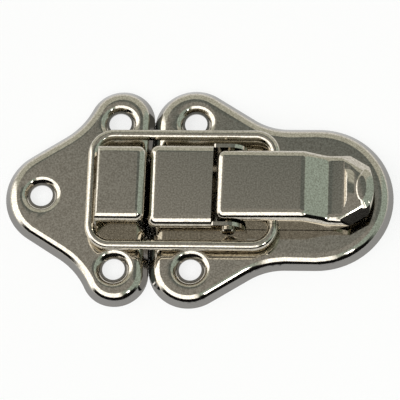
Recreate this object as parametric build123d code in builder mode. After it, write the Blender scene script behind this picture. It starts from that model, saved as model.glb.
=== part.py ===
"""Over-centre toggle latch: catch plate, base plate, lever, pivot pin and wire bail.

Millimetres, +Z up, +X from the catch plate to the lever's tip, Y across the latch.
The two pressed plates stand on z = 0, and the origin is the middle of the whole footprint.
The latch is modelled closed.
"""

import os
from math import atan2, cos, degrees, radians, sin, sqrt, tan

from build123d import *

# ---------------------------------------------------------------- driving dimensions

sheet = 0.75  # pressed steel of the plates and the lever

# The two plates are shallow pans. Their walls lean out to the foot.
catch_length = 27.54
base_length = 45.34
plate_gap = 0.02
pan_height = 2.3
rim_radius = 2.3
wall_lean = 33.0

nose_radius = 9.8  # end of the catch plate away from the lever
catch_ear_radius = 6.2
catch_waist_radius = 14.2
catch_flank_slope = 33.07  # of the straight flank beside the nose
ear_reach_y = 21.65  # middle line to the top of the ears

base_ear_radius = 7.6
base_ear_step = 0.2  # how much wider the base plate's ears reach
base_ear_slope = 32.5
base_waist_radius = 12.1
base_half_width = 14.17

# Screw holes, dimpled into the sheet: a rounded mouth, a cone and a flat seat.
hole_radius = 2.12
seat_width = 0.4
dimple_depth = 0.95
dimple_cone = 50.0
dimple_bend = 1.5
seat_sheet = 0.35  # the sheet is drawn thinner here
nose_hole_setback = 6.85  # from the tip of the catch plate
catch_hole_setback = 6.44  # from the catch plate's straight edge
base_hole_setback = 7.89  # from the base plate's straight edge
hole_half_spacing = 14.65
tail_hole_setback = 14.4  # from the round end of the base plate

# Catch hook: a box pressed up from the catch plate, open towards the nose.
hook_setback = 0.45  # from the catch plate's straight edge to the end wall
hook_length = 9.16
hook_half_width = 7.5
hook_height = 9.2
hook_bend = 1.75
hook_end_bend = 1.7
hook_edge_radius = 0.7  # rolled edge of the top over the hook's mouth
seat_radius = 1.6
seat_depth = 0.25

# Saddle: the box pressed up from the base plate, open towards the lever.
saddle_length = 11.92
saddle_half_width = 8.15
saddle_height = 8.1
saddle_bend = 1.9
saddle_end_bend = 1.6
saddle_tuck = 0.8  # how far the plate runs in under the saddle's open end

# Ears: the saddle's side walls run on past its top and carry the pivot.
pivot_reach = 3.07  # from the saddle's open end
pivot_height = 5.2
ear_reach = 3.1  # from the pivot to the ear's end
ear_height = 7.65
ear_end_radius = 3.05
ear_corner_radius = 0.5

# Pivot pin, headed over outside the ears.
pin_radius = 1.0
pin_head_radius = 1.4
pin_head = 0.55
pin_head_bevel = 0.25
pin_fit = 0.02
head_clearance = 0.02
pivot_clearance = 0.06

# Lever: a channel that turns between the ears.
nose_gap = 0.74  # from the saddle's open end to the lever
lever_half_width = 6.95
lever_top = 8.7
lever_bend = 1.78
nose_bend = 1.45
nose_lip = 2.4  # depth of the lip that closes the nose
lever_underside = 2.5
heel_radius = 2.2
lever_length = 29.2
fall = 2.4
fall_slope = 29.0
fall_bend = 3.0
valley_length = 2.9
lip_setback = 5.5  # from the tip to the foot of the raised lip
lip_rise = 0.45
lip_rise_length = 2.2
lip_bend = 3.2
tip_bow_radius = 12.0
tip_corner_radius = 3.2
tip_underside = 4.75
tip_step = 7.3  # from the tip to where the underside starts to rise
tip_step_slope = 40.0
tip_step_radius = 1.5
facet_half_width = 0.1  # middle line to the facet, at the tip
facet_length = 8.5
facet_turn = 31.0
facet_slope = 40
facet_radius = 3.2

# Wire bail.
wire_radius = 1.0
wire_height = 4.65
bail_half_width = 11.0  # to the wire's middle
bail_arm = 8.27  # from the pivot to the wire's middle
bail_corner_radius = 3.8
butt_gap = 0.3
wire_clearance = 0.08
hook_clearance = 0.25

# ---------------------------------------------------------------- places

tip_of_catch = -(catch_length + plate_gap + base_length) / 2
catch_edge = tip_of_catch + catch_length
base_edge = catch_edge + plate_gap
end_of_base = base_edge + base_length
round_end_x = end_of_base - base_half_width

wall_inset = sheet / cos(radians(wall_lean))

hook_end = catch_edge - hook_setback
hook_front = hook_end - hook_length

saddle_end = base_edge + saddle_length
pivot_x = saddle_end + pivot_reach
ear_end = pivot_x + ear_reach
saddle_inner = saddle_half_width - sheet

lever_nose = saddle_end + nose_gap
lever_tip = lever_nose + lever_length
bail_heel = pivot_x + bail_arm
bail_nose = hook_front - hook_clearance - wire_radius

catch_hole_x = catch_edge - catch_hole_setback
base_hole_x = base_edge + base_hole_setback
catch_holes = [
    (tip_of_catch + nose_hole_setback, 0),
    (catch_hole_x, hole_half_spacing),
    (catch_hole_x, -hole_half_spacing),
]
base_holes = [
    (base_hole_x, hole_half_spacing),
    (base_hole_x, -hole_half_spacing),
    (end_of_base - tail_hole_setback, 0),
]

# ---------------------------------------------------------------- plate outlines


def flat_for(radius, turn=90.0):
    """Leg of the flat that touches an inside bend of this radius and turn."""
    half = radians(turn) / 2
    return radius * (1 / cos(half) - 1) / sin(half)


def away(point, distance, angle):
    """The point at a distance and an angle in degrees from another."""
    turn = radians(angle)
    return point[0] + distance * cos(turn), point[1] + distance * sin(turn)


def catch_outline(inset=0.0):
    """Nose, two waists and two ears, with a straight edge towards the base plate."""
    nose = (tip_of_catch + nose_radius, 0)
    ear = (catch_edge - catch_ear_radius, ear_reach_y - catch_ear_radius)
    normal = 90 + catch_flank_slope
    across = radians(normal)
    along = (sin(across), -cos(across))
    ear_off = (ear[0] - nose[0]) * cos(across) + (ear[1] - nose[1]) * sin(across)
    ear_along = (ear[0] - nose[0]) * along[0] + (ear[1] - nose[1]) * along[1]
    waist_off = nose_radius + catch_waist_radius
    tangent_span = catch_waist_radius + catch_ear_radius
    waist_along = ear_along - sqrt(tangent_span**2 - (waist_off - ear_off) ** 2)
    waist = (
        nose[0] + waist_off * cos(across) + waist_along * along[0],
        nose[1] + waist_off * sin(across) + waist_along * along[1],
    )
    waist_turn = degrees(atan2(waist[1] - ear[1], waist[0] - ear[0]))
    ear_end_turn = waist_turn - 180
    waist_end_turn = normal - 180
    with BuildSketch() as outline:
        with BuildLine():
            Line((catch_edge, 0), (catch_edge, ear[1]))
            ThreePointArc(
                (catch_edge, ear[1]),
                away(ear, catch_ear_radius, waist_turn / 2),
                away(ear, catch_ear_radius, waist_turn),
            )
            ThreePointArc(
                away(waist, catch_waist_radius, ear_end_turn),
                away(waist, catch_waist_radius, (ear_end_turn + waist_end_turn) / 2),
                away(waist, catch_waist_radius, waist_end_turn),
            )
            Line(
                away(waist, catch_waist_radius, waist_end_turn),
                away(nose, nose_radius, normal),
            )
            ThreePointArc(
                away(nose, nose_radius, normal),
                away(nose, nose_radius, (normal + 180) / 2),
                (tip_of_catch, 0),
            )
            mirror(about=Plane.XZ)
        make_face()
        if inset:
            offset(amount=-inset, kind=Kind.ARC)
    return outline.sketch


def base_outline(inset=0.0):
    """Two ears at the straight edge, parallel sides and a half-round end."""
    slope = radians(base_ear_slope)
    shoulder_x = base_edge + base_ear_radius + base_ear_radius * sin(slope)
    shoulder_y = ear_reach_y + base_ear_step - base_ear_radius + base_ear_radius * cos(slope)
    ear_apex = shoulder_y + (shoulder_x - base_edge) * tan(slope)
    waist_x = shoulder_x + (shoulder_y - base_half_width) / tan(slope)
    with BuildSketch() as outline:
        with BuildLine():
            Polyline(
                (base_edge, ear_apex),
                (base_edge, -ear_apex),
                (waist_x, -base_half_width),
                (round_end_x, -base_half_width),
                (round_end_x, base_half_width),
                (waist_x, base_half_width),
                close=True,
            )
        make_face()
        fillet(outline.vertices().group_by(Axis.X)[0], base_ear_radius)
        waists = [v for v in outline.vertices() if abs(v.X - waist_x) < sheet]
        fillet(waists, base_waist_radius)
        with Locations((round_end_x, 0)):
            Circle(base_half_width)
        if inset:
            offset(amount=-inset, kind=Kind.ARC)
    return outline.sketch


def pan(outline):
    """A solid block on an outline, with leaning walls and a rounded top edge."""
    with BuildPart() as block:
        add(outline)
        extrude(amount=pan_height, taper=wall_lean)
        fillet(block.faces().sort_by(Axis.Z)[-1].edges(), rim_radius)
    return block.part


def pan_hollow(outline):
    """What is hollow under a plate. Its corner is a flat that keeps the sheet's thickness."""
    with BuildPart() as block:
        add(outline)
        extrude(amount=pan_height - sheet, taper=wall_lean)
        top = block.faces().sort_by(Axis.Z)[-1]
        chamfer(top.edges(), flat_for(rim_radius - sheet, 90 - wall_lean))
    return block.part


def pressed_box(x_from, x_to, half_width, height, bend, end_bend, end):
    """A solid block with rounded long edges, and rounded all round one end."""
    with BuildPart() as block:
        with Locations(((x_from + x_to) / 2, 0, 0)):
            Box(
                x_to - x_from,
                2 * half_width,
                height,
                align=(Align.CENTER, Align.CENTER, Align.MIN),
            )
        fillet(block.faces().sort_by(Axis.Z)[-1].edges().filter_by(Axis.X), bend)
        end_edges = block.faces().sort_by(Axis.X)[end].edges()
        fillet(end_edges.sort_by(Axis.Z)[1:], end_bend)
    return block.part


def box_hollow(x_from, x_to, half_width, height, bend, end_bend, end):
    """What is hollow inside a pressed box, with flats that keep the sheet's thickness."""
    with BuildPart() as block:
        with Locations(((x_from + x_to) / 2, 0, 0)):
            Box(
                x_to - x_from,
                2 * (half_width - sheet),
                height - sheet,
                align=(Align.CENTER, Align.CENTER, Align.MIN),
            )
        tops = block.faces().sort_by(Axis.Z)[-1].edges().filter_by(Axis.X)
        chamfer(tops, flat_for(bend - sheet))
        end_edges = block.faces().sort_by(Axis.X)[end].edges()
        chamfer(end_edges.sort_by(Axis.Z)[1:], flat_for(end_bend - sheet))
    return block.part


def dimple_cut():
    """What a dimple takes from the sheet, as a solid of revolution on the Z axis."""
    turn = radians(dimple_cone)
    seat_z = pan_height - dimple_depth
    seat_radius_outer = hole_radius + seat_width
    bend_z = pan_height - dimple_bend * (1 - cos(turn))
    bend_r = seat_radius_outer + (bend_z - seat_z) / tan(turn)
    mouth_r = bend_r + dimple_bend * sin(turn)
    half = turn / 2
    middle = (
        mouth_r - dimple_bend * sin(half),
        pan_height - dimple_bend * (1 - cos(half)),
    )
    with BuildPart() as cut:
        with BuildSketch(Plane.XZ):
            with BuildLine():
                ThreePointArc((mouth_r, pan_height), middle, (bend_r, bend_z))
                Polyline(
                    (bend_r, bend_z),
                    (seat_radius_outer, seat_z),
                    (hole_radius, seat_z),
                    (hole_radius, 0),
                    (0, 0),
                    (0, pan_height + sheet),
                    (mouth_r, pan_height + sheet),
                    (mouth_r, pan_height),
                )
            make_face()
        revolve(axis=Axis.Z)
    return cut.part


def dimples(places):
    """The cone of sheet round each screw hole, and the dimple and hole cut into it."""
    turn = radians(dimple_cone)
    wall = (seat_sheet + sheet) / 2 / sin(turn)
    seat_z = pan_height - dimple_depth
    foot = hole_radius + seat_width + wall - seat_sheet / tan(turn)
    rise = pan_height - sheet - seat_z + seat_sheet
    with Locations(*[(x, y, seat_z - seat_sheet) for x, y in places]):
        Cone(
            foot,
            foot + rise / tan(turn),
            rise,
            align=(Align.CENTER, Align.CENTER, Align.MIN),
        )
    cut = dimple_cut()
    with Locations(*[(x, y, 0) for x, y in places]):
        add(cut, mode=Mode.SUBTRACT)


def cross_bar(x, z, radius, length):
    """A round bar across the latch, centred on the middle line."""
    with BuildPart() as bar:
        with BuildSketch(Plane.XZ):
            with Locations((x, z)):
                Circle(radius)
        extrude(amount=length / 2, both=True)
    return bar.part


# ---------------------------------------------------------------- catch plate

with BuildPart() as hook_side:
    with BuildSketch(Plane.XZ) as side:
        with BuildLine():
            Polyline(
                (catch_edge, 0),
                (catch_edge, hook_height),
                (hook_front, hook_height),
                (hook_front, 0),
                close=True,
            )
        make_face()
        fillet(side.vertices().group_by(Axis.X)[0].sort_by(Axis.Y)[-1], hook_edge_radius)
        with Locations((hook_front + seat_depth - seat_radius, wire_height)):
            Circle(seat_radius, mode=Mode.SUBTRACT)
    extrude(amount=hook_half_width, both=True)

with BuildPart() as catch_plate:
    add(pressed_box(hook_front, hook_end, hook_half_width, hook_height, hook_bend, hook_end_bend, -1))
    add(hook_side.part, mode=Mode.INTERSECT)
    add(pan(catch_outline()))
    add(pan_hollow(catch_outline(wall_inset)), mode=Mode.SUBTRACT)
    add(
        box_hollow(
            hook_front,
            hook_end - sheet,
            hook_half_width,
            hook_height,
            hook_bend,
            hook_end_bend,
            -1,
        ),
        mode=Mode.SUBTRACT,
    )
    dimples(catch_holes)
catch_plate.part.label = "catch_plate"

# ---------------------------------------------------------------- base plate

with BuildPart() as ears:
    with BuildSketch(Plane.XZ) as side:
        with BuildLine():
            Polyline(
                (saddle_end, pan_height - sheet),
                (saddle_end, ear_height),
                (ear_end, ear_height),
                (ear_end, pan_height - sheet),
                close=True,
            )
        make_face()
        tops = side.vertices().group_by(Axis.Y)[-1].sort_by(Axis.X)
        fillet(tops[1], ear_end_radius)
        fillet(side.vertices().group_by(Axis.Y)[-1].sort_by(Axis.X)[0], ear_corner_radius)
    extrude(amount=saddle_half_width, both=True)

with BuildPart() as saddle_hollow:
    add(
        box_hollow(
            base_edge + sheet,
            ear_end,
            saddle_half_width,
            saddle_height,
            saddle_bend,
            saddle_end_bend,
            0,
        )
    )
    with Locations((saddle_end - saddle_tuck, 0, 0)):
        Box(
            ear_end,
            2 * saddle_half_width,
            pan_height,
            align=(Align.MIN, Align.CENTER, Align.MIN),
            mode=Mode.SUBTRACT,
        )

with BuildPart() as base_plate:
    add(
        pressed_box(
            base_edge,
            saddle_end,
            saddle_half_width,
            saddle_height,
            saddle_bend,
            saddle_end_bend,
            0,
        )
    )
    add(ears.part)
    add(pan(base_outline()))
    add(pan_hollow(base_outline(wall_inset)), mode=Mode.SUBTRACT)
    add(saddle_hollow.part, mode=Mode.SUBTRACT)
    with Locations(((saddle_end + ear_end) / 2, 0, pan_height)):
        Box(
            ear_end - saddle_end,
            2 * saddle_inner,
            saddle_height,
            align=(Align.CENTER, Align.CENTER, Align.MIN),
            mode=Mode.SUBTRACT,
        )
    add(
        cross_bar(pivot_x, pivot_height, pin_radius + pin_fit, 4 * saddle_half_width),
        mode=Mode.SUBTRACT,
    )
    dimples(base_holes)
base_plate.part.label = "base_plate"

# ---------------------------------------------------------------- pivot pin

head_side = saddle_half_width + head_clearance

with BuildPart() as pivot_pin:
    add(cross_bar(pivot_x, pivot_height, pin_radius, 2 * head_side + pin_head))
    for side_of in (1, -1):
        with BuildSketch(Plane.XZ.offset(-side_of * head_side)):
            with Locations((pivot_x, pivot_height)):
                Circle(pin_head_radius)
        extrude(amount=-side_of * pin_head)
    outer_faces = [pivot_pin.faces().sort_by(Axis.Y)[0], pivot_pin.faces().sort_by(Axis.Y)[-1]]
    chamfer([face.edges()[0] for face in outer_faces], pin_head_bevel)
pivot_pin.part.label = "pivot_pin"

# ---------------------------------------------------------------- lever

valley = lever_top - fall
crown = valley + lip_rise
valley_end = lever_tip - lip_setback
valley_start = valley_end - valley_length
fall_start = valley_start - fall / tan(radians(fall_slope))
lever_flat = fall_start - lever_nose
crown_start = valley_end + lip_rise_length


def lever_profile(inset=0.0):
    """Side view of the lever's top: flat, fall, valley and raised lip."""
    bottom = lever_underside - 2 * inset
    with BuildSketch(Plane.XZ) as side:
        with BuildLine():
            Polyline(
                (lever_nose, bottom),
                (lever_nose, lever_top),
                (fall_start, lever_top),
                (valley_start, valley),
                (valley_end, valley),
                (crown_start, crown),
                (lever_tip, crown),
                (lever_tip, bottom),
                close=True,
            )
        make_face()
        for corner_x, radius in (
            (fall_start, fall_bend),
            (valley_start, fall_bend),
            (valley_end, lip_bend),
            (crown_start, lip_bend),
        ):
            bends = [v for v in side.vertices() if abs(v.X - corner_x) < butt_gap / 2]
            fillet(bends, radius)
        if inset:
            offset(amount=-inset, kind=Kind.ARC)
    return side.sketch


def lever_plan(inset=0.0):
    """Plan of the lever: straight sides and a bowed tip with round corners."""
    with BuildSketch() as plan:
        with Locations(((lever_nose + lever_tip) / 2, 0)):
            Rectangle(lever_length, 2 * lever_half_width)
        with Locations((lever_tip - tip_bow_radius, 0)):
            Circle(tip_bow_radius, mode=Mode.INTERSECT)
        with Locations((lever_nose + lever_flat / 2, 0)):
            Rectangle(lever_flat, 2 * lever_half_width)
        corners = [v for v in plan.vertices() if v.X > valley_end]
        fillet(corners, tip_corner_radius)
        if inset:
            offset(amount=-inset, kind=Kind.ARC)
    return plan.sketch


def facet(side_of, inset=0.0):
    """What is cut from one shoulder of the tip: a slope with a rounded top edge."""
    turn = radians(facet_turn)
    start_x = lever_tip - facet_length
    start_y = facet_half_width + (lever_tip - start_x) * tan(turn)
    across = Plane(
        origin=(start_x, side_of * start_y, crown - inset),
        x_dir=(sin(turn), side_of * cos(turn), 0),
        z_dir=(side_of * cos(turn), -sin(turn), 0),
    )
    radius = facet_radius - inset
    slope = radians(facet_slope)
    edge_x = radius * sin(slope)
    edge_y = radius * cos(slope) - radius
    with BuildPart() as cutter:
        with BuildSketch(across):
            with BuildLine():
                RadiusArc((0, 0), (edge_x, edge_y), radius)
                Polyline(
                    (edge_x, edge_y),
                    (lever_length, edge_y - (lever_length - edge_x) * tan(slope)),
                    (lever_length, lever_top),
                    (0, lever_top),
                    (0, 0),
                )
            make_face()
        extrude(amount=side_of * lever_length)
    return cutter.part


def lever_block(inset=0.0):
    """The lever's outside, or its inside, as a solid with every top edge rounded."""
    with BuildPart() as profile:
        extrude(lever_profile(inset), amount=lever_half_width - inset, dir=(0, 1, 0), both=True)
    with BuildPart() as block:
        extrude(lever_plan(inset), amount=lever_top, dir=(0, 0, 1))
        add(profile.part, mode=Mode.INTERSECT)
        crests = [f for f in block.faces() if f.normal_at(f.center()).Z > 0.5]
        on_top = [e for f in crests for e in f.edges()]
        once = [e for e in on_top if sum(e.is_same(other) for other in on_top) == 1]
        rim = [e for e in once if e.center().X > pivot_x]
        if inset:
            chamfer(rim, flat_for(lever_bend - inset))
        else:
            fillet(rim, lever_bend)
        front = block.faces().sort_by(Axis.X)[0].edges().sort_by(Axis.Z)[1:]
        if inset:
            chamfer(front, flat_for(nose_bend - inset))
        else:
            fillet(front, nose_bend)
        add(facet(1, inset), mode=Mode.SUBTRACT)
        add(facet(-1, inset), mode=Mode.SUBTRACT)
    return block.part


step_x = lever_tip - tip_step
step_top_x = step_x + (tip_underside - lever_underside) / tan(radians(tip_step_slope))

with BuildPart() as lever_side:
    with BuildSketch(Plane.XZ) as side:
        with BuildLine():
            Polyline(
                (lever_nose, lever_underside),
                (lever_nose, lever_top),
                (lever_tip, lever_top),
                (lever_tip, tip_underside),
                (step_top_x, tip_underside),
                (step_x, lever_underside),
                close=True,
            )
        make_face()
        fillet([v for v in side.vertices() if abs(v.X - step_x) < sheet], tip_step_radius)
        fillet([v for v in side.vertices() if abs(v.X - step_top_x) < sheet], tip_step_radius)
        fillet(side.vertices().group_by(Axis.X)[0].sort_by(Axis.Y)[0], heel_radius)
    extrude(amount=lever_half_width, both=True)

with BuildPart() as lever:
    add(lever_block())
    add(lever_block(sheet), mode=Mode.SUBTRACT)
    add(lever_side.part, mode=Mode.INTERSECT)
    with Locations((lever_nose + sheet / 2, 0, lever_top - nose_lip)):
        Box(
            2 * sheet,
            2 * (lever_half_width - sheet),
            lever_top,
            align=(Align.CENTER, Align.CENTER, Align.MAX),
            mode=Mode.SUBTRACT,
        )
    add(
        cross_bar(pivot_x, pivot_height, pin_radius + pivot_clearance, 4 * lever_half_width),
        mode=Mode.SUBTRACT,
    )
    add(
        cross_bar(bail_heel, wire_height, wire_radius + wire_clearance, 4 * lever_half_width),
        mode=Mode.SUBTRACT,
    )
lever.part.label = "lever"

# ---------------------------------------------------------------- wire bail

with BuildPart() as wire_bail:
    with BuildLine() as wire_path:
        FilletPolyline(
            (bail_heel, butt_gap / 2, wire_height),
            (bail_heel, bail_half_width, wire_height),
            (bail_nose, bail_half_width, wire_height),
            (bail_nose, -bail_half_width, wire_height),
            (bail_heel, -bail_half_width, wire_height),
            (bail_heel, -butt_gap / 2, wire_height),
            radius=bail_corner_radius,
        )
    with BuildSketch(Plane.XZ.offset(-butt_gap / 2)):
        with Locations((bail_heel, wire_height)):
            Circle(wire_radius)
    sweep(path=wire_path.wires()[0])
wire_bail.part.label = "wire_bail"

# ---------------------------------------------------------------- export

os.makedirs("parts", exist_ok=True)
export_step(catch_plate.part, "parts/catch_plate.step")
export_step(base_plate.part, "parts/base_plate.step")
export_step(pivot_pin.part, "parts/pivot_pin.step")
export_step(lever.part, "parts/lever.step")
export_step(wire_bail.part, "parts/wire_bail.step")
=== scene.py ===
"""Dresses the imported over-centre latch: nickel plated steel on a plain white stage."""

import math

import bpy
from bpy.props import FloatProperty, PointerProperty, StringProperty
from mathutils import Matrix, Vector


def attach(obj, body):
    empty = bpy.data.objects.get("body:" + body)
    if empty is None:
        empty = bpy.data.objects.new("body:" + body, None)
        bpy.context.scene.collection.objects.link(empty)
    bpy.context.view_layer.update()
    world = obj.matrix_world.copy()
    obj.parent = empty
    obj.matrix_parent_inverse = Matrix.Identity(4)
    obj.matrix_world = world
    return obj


bl_info = {
    "name": "Over-Centre Latch",
    "version": (1, 0, 0),
    "blender": (4, 5, 0),
    "location": "View3D > Sidebar > Latch",
    "description": "Finishes a nickel plated over-centre latch and lights it",
    "category": "Object",
}

MM = 0.001
CREASE = 35  # degrees: a sharper edge than this stays an edge
WELD_REACH = 0.00001 * MM
NEAR = 0.1 * MM  # how close to a level a point counts as on it
ROUND_STEPS = 8  # faces across each rounding
DOME_SIDES = 96
DOME_TOP_SHARE = (0.56, 0.62, 1)  # the dome's flat top as a share of its foot
FLOOR_SIDE = 1.6
FLOOR_DROP = 0.02 * MM

# Boxes of floor under the latch that its slots look down on: middle and half size, in mm.
COVERED = (((-1.0, 0.0), (11.0, 8.5)), ((-8.9, 0.0), (1.3, 15.5)))

# What stands round the latch, fitted by trial to the photo's reflections. Each is a direction,
# then the angles in degrees about it at which the thing has ended and at which it is whole.
SIDE_WALL = ((0.98, -0.17, 0), 60, 45)
WINDOW = ((-0.79, -0.61, 0), 78, 66)
WINDOW_FOOT = ((0, -1, 0), 80, 60)
ABOVE_FOOT = ((0, 0, 1), 63, 60)
CEILING = ((-0.03, 0.122, 0.992), 34, 30)
CURTAIN = ((0.6, -0.72, 0.36), 22, 15)
LIT_TOWARDS = (-0.45, -0.89, 0)
LIT_FROM, LIT_TO = -0.325, -0.265

# Small offsets of the camera that came out of its fit to the photo's outline.
CAMERA_DOWN = 0.15 * MM
CAMERA_ALONG = 0.17 * MM

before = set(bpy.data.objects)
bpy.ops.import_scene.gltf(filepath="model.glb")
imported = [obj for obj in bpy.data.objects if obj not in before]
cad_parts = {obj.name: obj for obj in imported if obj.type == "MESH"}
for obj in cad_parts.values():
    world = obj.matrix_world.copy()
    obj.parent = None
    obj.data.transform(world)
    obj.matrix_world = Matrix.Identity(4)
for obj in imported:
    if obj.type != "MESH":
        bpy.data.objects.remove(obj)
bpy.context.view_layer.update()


# ---------------------------------------------------------------- small helpers


def linear(code):
    """An sRGB hex colour as linear red, green, blue and alpha."""
    parts = [int(code[i : i + 2], 16) / 255 for i in (1, 3, 5)]
    lin = [c / 12.92 if c <= 0.04045 else ((c + 0.055) / 1.055) ** 2.4 for c in parts]
    return (*lin, 1.0)


def node(tree, kind, settings=None, **links):
    """Adds a node. Settings name its properties or sockets, and links feed its sockets."""
    made = tree.nodes.new(kind)
    for name, value in (settings or {}).items():
        if isinstance(name, str) and hasattr(made, name):
            setattr(made, name, value)
        else:
            made.inputs[name].default_value = value
    for name, source in links.items():
        key = int(name[1:]) if name[0] == "i" and name[1:].isdigit() else name
        tree.links.new(source, made.inputs[key])
    return made


def length(name, description, millimetres):
    """A length for a settings group, given in millimetres."""
    return FloatProperty(
        name=name,
        description=description,
        default=millimetres * MM,
        subtype="DISTANCE",
        unit="LENGTH",
    )


def angle(name, description, degrees):
    """An angle for a settings group, given in degrees."""
    return FloatProperty(
        name=name,
        description=description,
        default=math.radians(degrees),
        subtype="ANGLE",
        unit="ROTATION",
    )


def colour(name, description, code):
    """A colour for a settings group, as an sRGB hex code."""
    return StringProperty(name=name, description=description, default=code)


def pick(piece, kind, test):
    """Enters edit mode with the vertices or edges selected that pass with every corner."""
    mesh = piece.data
    bpy.ops.object.mode_set(mode="EDIT")
    bpy.ops.mesh.select_mode(type=kind)
    bpy.ops.mesh.select_all(action="DESELECT")
    bpy.ops.object.mode_set(mode="OBJECT")
    for item in mesh.vertices if kind == "VERT" else mesh.edges:
        corners = [item.index] if kind == "VERT" else item.vertices
        item.select = all(test(mesh.vertices[i].co) for i in corners)
    bpy.ops.object.mode_set(mode="EDIT")


def settle(piece, name, body):
    """Leaves a finished piece smooth, plated, at the origin and on its body."""
    bpy.ops.object.mode_set(mode="OBJECT")
    bpy.ops.object.transform_apply(location=True, rotation=True, scale=True)
    bpy.ops.object.shade_smooth_by_angle(angle=math.radians(CREASE))
    piece.name = name
    piece.data.name = name
    piece.data.materials.append(bpy.data.materials["bright_nickel"])
    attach(piece, body)


# ---------------------------------------------------------------- settings


class LatchFinish(bpy.types.PropertyGroup):
    nickel: colour("Nickel", "Colour of the plating", "#D2CCBF")
    grain: colour("Grain", "Colour of the darker grain of the sheet", "#A8A194")
    grain_size: length("Grain Size", "Width of one grain", 0.3)
    roughness: FloatProperty(
        name="Roughness", description="Spread of reflections in the plating", default=0.09
    )
    # Painted shade: below this height the walls and screw seats are painted a greyer colour, in
    # place of the shaded floor they mirror.
    low_wall_shade: colour("Low Wall Shade", "Colour of the plating low on the walls", "#8C8A87")
    low_wall_shade_height: length("Thin Height", "Height below which the plating is greyer", 1.42)


class LatchTip(bpy.types.PropertyGroup):
    bead_foot: length("Bead Foot", "Place along the latch of the bead's steep foot", 27.3)
    bead_crest: length("Bead Crest", "Place along the latch of the bead's crest", 27.95)
    bead_end: length("Bead End", "Place along the latch where the bead's fall ends", 29.9)
    bead_top: length("Bead Top", "Height of the crest above the mounting face", 7.1)
    bead_drop: length("Bead Drop", "How far the bead falls from crest to end", 0.6)
    bead_width: length("Bead Width", "Width of the bead's foot across the lever", 8.8)
    bead_taper: length("Bead Taper", "How far each end of the crest stands in from the foot", 1.7)
    dome_middle: length("Dome Middle", "Place along the latch of the dome's foot", 31.2)
    dome_reach: length("Dome Reach", "Half length of the dome's foot along the latch", 1.75)
    dome_spread: length("Dome Spread", "Half width of the dome's foot across the latch", 3.9)
    dome_top: length("Dome Top", "Height of the dome's flat top", 6.93)
    top_setback: length("Top Setback", "How far the flat top sits back towards the bead", 0.5)
    under: length("Under", "Height inside the sheet where both forms start", 5.95)
    edge: length("Edge", "Width of the rounding on the crest and round the flat top", 0.3)


class LatchStage(bpy.types.PropertyGroup):
    tilt: angle("Tilt", "Camera's lean from straight above", 22)
    turn: angle("Turn", "Camera's turn about the vertical", -13.26)
    roll: angle("Roll", "Camera's roll about its own axis", 11.91)
    distance: length("Distance", "Camera to the middle of the latch", 733.3)
    lens: FloatProperty(name="Lens", description="Focal length on a 36 mm sensor", default=352.0)
    paper: colour("Paper", "Colour of the floor", "#FAFAF8")
    lift: FloatProperty(
        name="Lift", description="Share of plain white in the floor where it is seen", default=0.75
    )
    box_turn: angle("Box Turn", "Direction of the softbox about the vertical", -48)
    box_rise: angle("Box Rise", "Height of the softbox above the horizon", 40)
    box_away: length("Box Away", "Softbox to the middle of the latch", 600)
    box_width: length("Box Width", "Width of the softbox", 80)
    box_height: length("Box Height", "Height of the softbox", 120)
    box_power: FloatProperty(name="Box Power", description="Power in watts", default=0.35)


class LatchRoom(bpy.types.PropertyGroup):
    ceiling: colour("Ceiling", "Far side of the dark ceiling", "#4F5351")
    lit_ceiling: colour("Lit Ceiling", "Ceiling on the window's side", "#706F6C")
    window: colour("Window", "White wall on the near and left sides", "#FFFFFF")
    wall: colour("Wall", "Grey wall on the far side", "#8E8F88")
    side_wall: colour("Side Wall", "Greenish wall on the right side", "#7B8681")
    skirting: colour("Skirting", "Dark foot of the window, and the curtain at its end", "#080808")
    strength: FloatProperty(name="Strength", description="Level of the room", default=2.4)


# ---------------------------------------------------------------- materials


def bright_nickel():
    """Bright nickel on pressed steel: a warm mirror, mottled by the grain of the sheet, with
    painted shade low on the walls.
    """
    finish = bpy.context.scene.latch_finish
    material = bpy.data.materials.new("bright_nickel")
    material.use_nodes = True
    tree = material.node_tree
    shader = tree.nodes["Principled BSDF"]
    shader.inputs["Metallic"].default_value = 1.0
    shader.inputs["Roughness"].default_value = finish.roughness
    where = node(tree, "ShaderNodeTexCoord")
    # Mottling: faint light and dark grains, as rolled sheet keeps under thin plating.
    grains = node(
        tree,
        "ShaderNodeTexNoise",
        {"Scale": 1 / finish.grain_size, "Detail": 2.0, "Roughness": 0.6},
        Vector=where.outputs["Object"],
    )
    spread = node(
        tree,
        "ShaderNodeMapRange",
        {"From Min": 0.35, "From Max": 0.65},
        Value=grains.outputs[0],
    )
    mottle = node(
        tree,
        "ShaderNodeMix",
        {"data_type": "RGBA", 6: linear(finish.grain), 7: linear(finish.nickel)},
        i0=spread.outputs[0],
    )
    # Low on the walls and in the screw seats the colour is painted greyer, set to match the rims'
    # grey: painted shade, standing in for the shaded floor that these walls mirror.
    height = node(tree, "ShaderNodeSeparateXYZ", i0=where.outputs["Object"])
    painted_shade_mask = node(
        tree,
        "ShaderNodeMapRange",
        {
            "interpolation_type": "SMOOTHSTEP",
            "From Min": finish.low_wall_shade_height + 0.2 * MM,
            "From Max": finish.low_wall_shade_height - 0.2 * MM,
        },
        Value=height.outputs["Z"],
    )
    painted_shade_mix = node(
        tree,
        "ShaderNodeMix",
        {"data_type": "RGBA", 7: linear(finish.low_wall_shade)},
        i0=painted_shade_mask.outputs[0],
        i6=mottle.outputs[2],
    )
    tree.links.new(painted_shade_mix.outputs[2], shader.inputs["Base Color"])
    return material


# ---------------------------------------------------------------- operators


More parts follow.
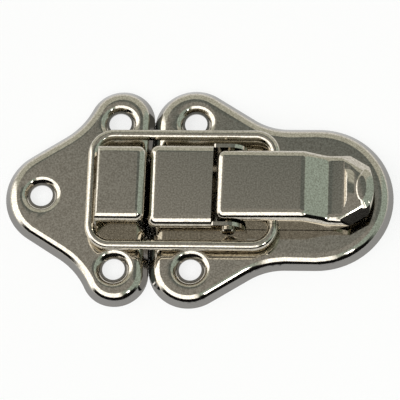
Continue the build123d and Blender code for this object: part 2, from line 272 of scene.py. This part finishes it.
class LATCH_OT_pressings(bpy.types.Operator):
    """Smooths and plates the pressed and bent parts"""

    bl_idname = "latch.pressings"
    bl_label = "Pressings"

    def execute(self, context):
        material = bright_nickel()
        for name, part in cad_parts.items():
            part.data.materials.clear()
            part.data.materials.append(material)
            for face in part.data.polygons:
                face.use_smooth = True
            weld = part.modifiers.new("weld", "WELD")
            weld.merge_threshold = WELD_REACH
            split = part.modifiers.new("creases", "EDGE_SPLIT")
            split.split_angle = math.radians(CREASE)
            split.use_edge_sharp = False
            weigh = part.modifiers.new("flats", "WEIGHTED_NORMAL")
            weigh.mode = "FACE_AREA"
            weigh.weight = 100
            weigh.keep_sharp = True
        return {"FINISHED"}


class LATCH_OT_tip(bpy.types.Operator):
    """Presses the cross bead and the flat-topped dome up in the lever's tip"""

    bl_idname = "latch.tip"
    bl_label = "Tip"

    def execute(self, context):
        self.bead(context)
        self.dome(context)
        return {"FINISHED"}

    def block(self, make, size, place):
        """A primitive of one unit, brought to its size and place in metres."""
        make()
        piece = bpy.context.object
        piece.scale = size
        piece.location = place
        bpy.ops.object.transform_apply(location=True, rotation=True, scale=True)
        return piece

    def bead(self, context):
        """A steep foot towards the saddle, a round crest and a long fall to the dome."""
        tip = context.scene.latch_tip
        piece = self.block(
            lambda: bpy.ops.mesh.primitive_cube_add(size=1, location=(0, 0, 0)),
            (tip.bead_end - tip.bead_foot, tip.bead_width, tip.bead_top - tip.under),
            ((tip.bead_foot + tip.bead_end) / 2, 0, (tip.under + tip.bead_top) / 2),
        )
        pick(piece, "VERT", lambda at: at.z > tip.bead_top - NEAR and at.x < tip.bead_crest)
        bpy.ops.transform.translate(value=(tip.bead_crest - tip.bead_foot, 0, 0))
        pick(piece, "VERT", lambda at: at.z > tip.bead_top - NEAR and at.x > tip.bead_end - NEAR)
        bpy.ops.transform.translate(value=(0, 0, -tip.bead_drop))
        for side in (1, -1):
            pick(
                piece,
                "VERT",
                lambda at: at.z > tip.under + NEAR and at.y * side > tip.bead_width / 2 - NEAR,
            )
            bpy.ops.transform.translate(value=(0, -tip.bead_taper * side, 0))
        pick(piece, "EDGE", lambda at: at.z > tip.bead_top - NEAR)
        bpy.ops.mesh.bevel(offset=tip.edge, offset_type="OFFSET", segments=ROUND_STEPS)
        settle(piece, "tip_bead", "lever")

    def dome(self, context):
        """An oval with a flat top and sloping sides, over the tip's shoulders."""
        tip = context.scene.latch_tip
        piece = self.block(
            lambda: bpy.ops.mesh.primitive_cylinder_add(
                vertices=DOME_SIDES, radius=1, depth=1, location=(0, 0, 0)
            ),
            (tip.dome_reach, tip.dome_spread, tip.dome_top - tip.under),
            (tip.dome_middle, 0, (tip.under + tip.dome_top) / 2),
        )
        pick(piece, "VERT", lambda at: at.z > tip.dome_top - NEAR)
        bpy.ops.transform.resize(
            value=DOME_TOP_SHARE, center_override=(tip.dome_middle, 0, tip.dome_top)
        )
        bpy.ops.transform.translate(value=(-tip.top_setback, 0, 0))
        pick(piece, "EDGE", lambda at: at.z > tip.dome_top - NEAR)
        bpy.ops.mesh.bevel(offset=tip.edge, offset_type="OFFSET", segments=ROUND_STEPS)
        settle(piece, "tip_dome", "lever")


class LATCH_OT_stage(bpy.types.Operator):
    """Lays the white floor, hangs the lights and places the camera"""

    bl_idname = "latch.stage"
    bl_label = "Stage"

    def execute(self, context):
        self.floor(context)
        self.world(context)
        self.lights(context)
        self.camera(context)
        return {"FINISHED"}

    def floor(self, context):
        stage = context.scene.latch_stage
        bpy.ops.object.select_all(action="DESELECT")
        bpy.ops.mesh.primitive_plane_add(size=FLOOR_SIDE, location=(0, 0, -FLOOR_DROP))
        floor = context.object
        floor.name = "floor"
        # White paper: seen directly or in metal it is lifted to white, and keeps its shadow.
        paper = bpy.data.materials.new("white_paper")
        paper.use_nodes = True
        tree = paper.node_tree
        shader = tree.nodes["Principled BSDF"]
        shader.inputs["Base Color"].default_value = linear(stage.paper)
        shader.inputs["Roughness"].default_value = 0.9
        path = node(tree, "ShaderNodeLightPath")
        seen = path.outputs["Is Camera Ray"]
        for kind in ("Is Glossy Ray", "Is Transmission Ray"):
            seen = node(
                tree,
                "ShaderNodeMath",
                {"operation": "MAXIMUM"},
                i0=seen,
                i1=path.outputs[kind],
            ).outputs[0]
        # Under the latch, where its slots look down, the lift stops and the shade stays.
        place = node(tree, "ShaderNodeTexCoord").outputs["Object"]
        covered = None
        for middle, half in COVERED:
            offset = node(
                tree,
                "ShaderNodeVectorMath",
                {"operation": "SUBTRACT", 1: (middle[0] * MM, middle[1] * MM, 0)},
                i0=place,
            )
            reach = node(
                tree, "ShaderNodeVectorMath", {"operation": "ABSOLUTE"}, i0=offset.outputs[0]
            )
            sides = node(tree, "ShaderNodeSeparateXYZ", i0=reach.outputs[0])
            inside = [
                node(
                    tree,
                    "ShaderNodeMath",
                    {"operation": "LESS_THAN", 1: half[i] * MM},
                    i0=sides.outputs[i],
                ).outputs[0]
                for i in (0, 1)
            ]
            both = node(
                tree,
                "ShaderNodeMath",
                {"operation": "MULTIPLY"},
                i0=inside[0],
                i1=inside[1],
            ).outputs[0]
            covered = both if covered is None else node(
                tree, "ShaderNodeMath", {"operation": "MAXIMUM"}, i0=covered, i1=both
            ).outputs[0]
        share = node(
            tree,
            "ShaderNodeMath",
            {"operation": "MULTIPLY_ADD", 1: -stage.lift, 2: stage.lift},
            i0=covered,
        )
        share = node(
            tree, "ShaderNodeMath", {"operation": "MULTIPLY"}, i0=share.outputs[0], i1=seen
        )
        glow = node(tree, "ShaderNodeEmission", {"Color": linear("#FFFFFF"), "Strength": 1.0})
        mix = node(
            tree,
            "ShaderNodeMixShader",
            i0=share.outputs[0],
            i1=shader.outputs[0],
            i2=glow.outputs[0],
        )
        tree.links.new(mix.outputs[0], tree.nodes["Material Output"].inputs["Surface"])
        floor.data.materials.append(paper)

    def world(self, context):
        """A grey ceiling, a white window with a dark foot, grey walls and a dark curtain."""
        room = context.scene.latch_room
        world = bpy.data.worlds.new("studio")
        context.scene.world = world
        world.use_nodes = True
        tree = world.node_tree
        tree.nodes.clear()
        where = node(tree, "ShaderNodeTexCoord").outputs["Generated"]

        def within(vector, towards, outer, inner):
            """One inside a cone about a direction, and nought outside it."""
            near = node(
                tree,
                "ShaderNodeVectorMath",
                {"operation": "DOT_PRODUCT", 1: Vector(towards).normalized()},
                i0=vector,
            )
            return node(
                tree,
                "ShaderNodeMapRange",
                {
                    "interpolation_type": "SMOOTHSTEP",
                    "From Min": math.cos(math.radians(outer)),
                    "From Max": math.cos(math.radians(inner)),
                },
                Value=near.outputs["Value"],
            ).outputs[0]

        def blend(factor, below, above):
            """Mixes two colours, each a hex code or a socket."""
            mix = node(tree, "ShaderNodeMix", {"data_type": "RGBA"}, i0=factor)
            for socket, colour in ((6, below), (7, above)):
                if isinstance(colour, str):
                    mix.inputs[socket].default_value = linear(colour)
                else:
                    tree.links.new(colour, mix.inputs[socket])
            return mix.outputs[2]

        flat = node(
            tree,
            "ShaderNodeVectorMath",
            {"operation": "MULTIPLY", 1: (1, 1, 0)},
            i0=where,
        )
        level = node(
            tree, "ShaderNodeVectorMath", {"operation": "NORMALIZE"}, i0=flat.outputs[0]
        ).outputs[0]
        # The ceiling brightens a little towards the window.
        across = node(
            tree,
            "ShaderNodeVectorMath",
            {"operation": "DOT_PRODUCT", 1: LIT_TOWARDS},
            i0=where,
        )
        lit = node(
            tree,
            "ShaderNodeMapRange",
            {"From Min": LIT_FROM, "From Max": LIT_TO},
            Value=across.outputs["Value"],
        ).outputs[0]
        ceiling = blend(lit, room.ceiling, room.lit_ceiling)
        walls = blend(within(level, *SIDE_WALL), room.wall, room.side_wall)
        walls = blend(within(level, *WINDOW), walls, room.window)
        foot = blend(within(level, *WINDOW_FOOT), walls, room.skirting)
        around = blend(within(where, *CEILING), walls, ceiling)
        around = blend(within(where, *ABOVE_FOOT), foot, around)
        around = blend(within(where, *CURTAIN), around, room.skirting)
        shade = node(tree, "ShaderNodeBackground", {"Strength": room.strength}, i0=around)
        out = node(tree, "ShaderNodeOutputWorld", Surface=shade.outputs[0])
        out.is_active_output = True

    def lights(self, context):
        stage = context.scene.latch_stage
        towards = Vector(
            (math.cos(stage.box_turn), math.sin(stage.box_turn), math.tan(stage.box_rise))
        )
        place = towards.normalized() * stage.box_away
        bpy.ops.object.light_add(type="AREA", location=place)
        box = context.object
        box.name = "softbox"
        box.data.shape = "RECTANGLE"
        box.data.size = stage.box_width
        box.data.size_y = stage.box_height
        box.data.energy = stage.box_power
        box.rotation_euler = (-place).to_track_quat("-Z", "Y").to_euler()

    def camera(self, context):
        stage = context.scene.latch_stage
        tilt = Matrix(
            (
                (1, 0, 0),
                (0, math.cos(stage.tilt), math.sin(stage.tilt)),
                (0, -math.sin(stage.tilt), math.cos(stage.tilt)),
            )
        )
        to_camera = (
            Matrix.Rotation(stage.roll, 3, "Z") @ tilt @ Matrix.Rotation(stage.turn, 3, "Z")
        )
        back = to_camera.transposed()
        bpy.ops.object.camera_add()
        camera = context.object
        camera.name = "camera"
        camera.data.lens = stage.lens
        camera.data.sensor_width = 36.0
        camera.data.clip_start = 0.01
        camera.data.clip_end = 10.0
        place = back @ Vector((0, -CAMERA_DOWN, stage.distance)) + Vector((CAMERA_ALONG, 0, 0))
        camera.matrix_world = Matrix.Translation(place) @ back.to_4x4()
        context.scene.camera = camera
        context.scene.view_settings.view_transform = "Standard"


class LATCH_PT_panel(bpy.types.Panel):
    bl_label = "Over-Centre Latch"
    bl_idname = "LATCH_PT_panel"
    bl_space_type = "VIEW_3D"
    bl_region_type = "UI"
    bl_category = "Latch"

    def draw(self, context):
        for operator in OPERATORS:
            self.layout.operator(operator.bl_idname)


OPERATORS = (LATCH_OT_pressings, LATCH_OT_tip, LATCH_OT_stage)
GROUPS = {
    "latch_finish": LatchFinish,
    "latch_tip": LatchTip,
    "latch_stage": LatchStage,
    "latch_room": LatchRoom,
}
CLASSES = (*GROUPS.values(), *OPERATORS, LATCH_PT_panel)


def register():
    for kind in CLASSES:
        bpy.utils.register_class(kind)
    for name, group in GROUPS.items():
        setattr(bpy.types.Scene, name, PointerProperty(type=group))


def unregister():
    for name in GROUPS:
        delattr(bpy.types.Scene, name)
    for kind in reversed(CLASSES):
        bpy.utils.unregister_class(kind)


def main():
    register()
    for operator in OPERATORS:
        group, name = operator.bl_idname.split(".")
        getattr(getattr(bpy.ops, group), name)()


if __name__ == "__main__":
    main()
